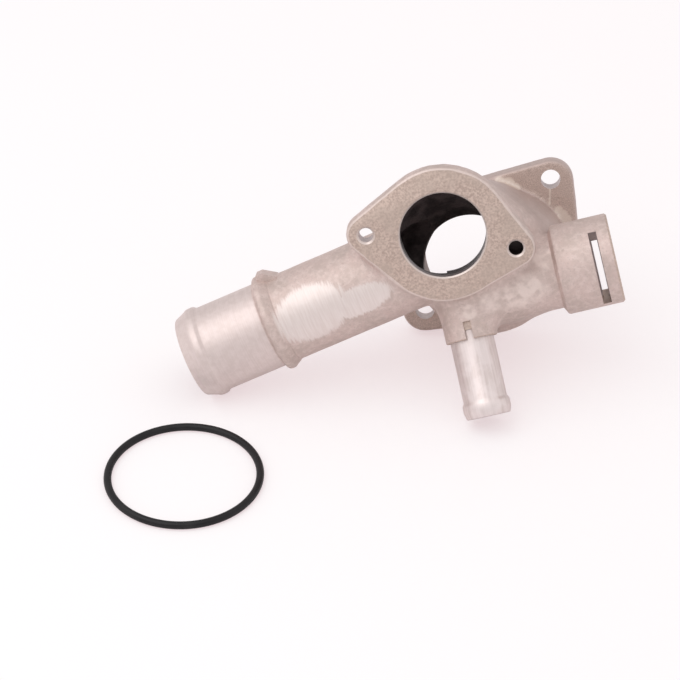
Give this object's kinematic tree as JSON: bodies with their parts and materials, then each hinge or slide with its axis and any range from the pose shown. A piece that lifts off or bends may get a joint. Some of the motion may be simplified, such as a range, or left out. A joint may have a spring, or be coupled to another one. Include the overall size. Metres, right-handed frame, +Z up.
{
  "type": "thermostat housing",
  "caption": "Cast aluminium coolant housing with an engine flange, an outlet flange, a beaded hose pipe, a clip socket and a pressed-in bypass tube, with its loose sealing ring beside it.",
  "frame": {"origin": "centre of the whole object's outline on the table that it lies on", "axes": "+X along the object's longest extent, +Z up from the table, the outlet flange facing about -Y"},
  "size_m": [0.2154, 0.1606, 0.1051],
  "materials": {
    "cast_aluminium": "bead-blasted casting with a fine grain",
    "plated_steel": "drawn tube, bright",
    "black_rubber": "smooth moulded rubber"
  },
  "bodies": {
    "root": {"housing": "cast_aluminium", "bypass_tube": "plated_steel", "sealing_ring": "black_rubber"}
  },
  "joints": []
}
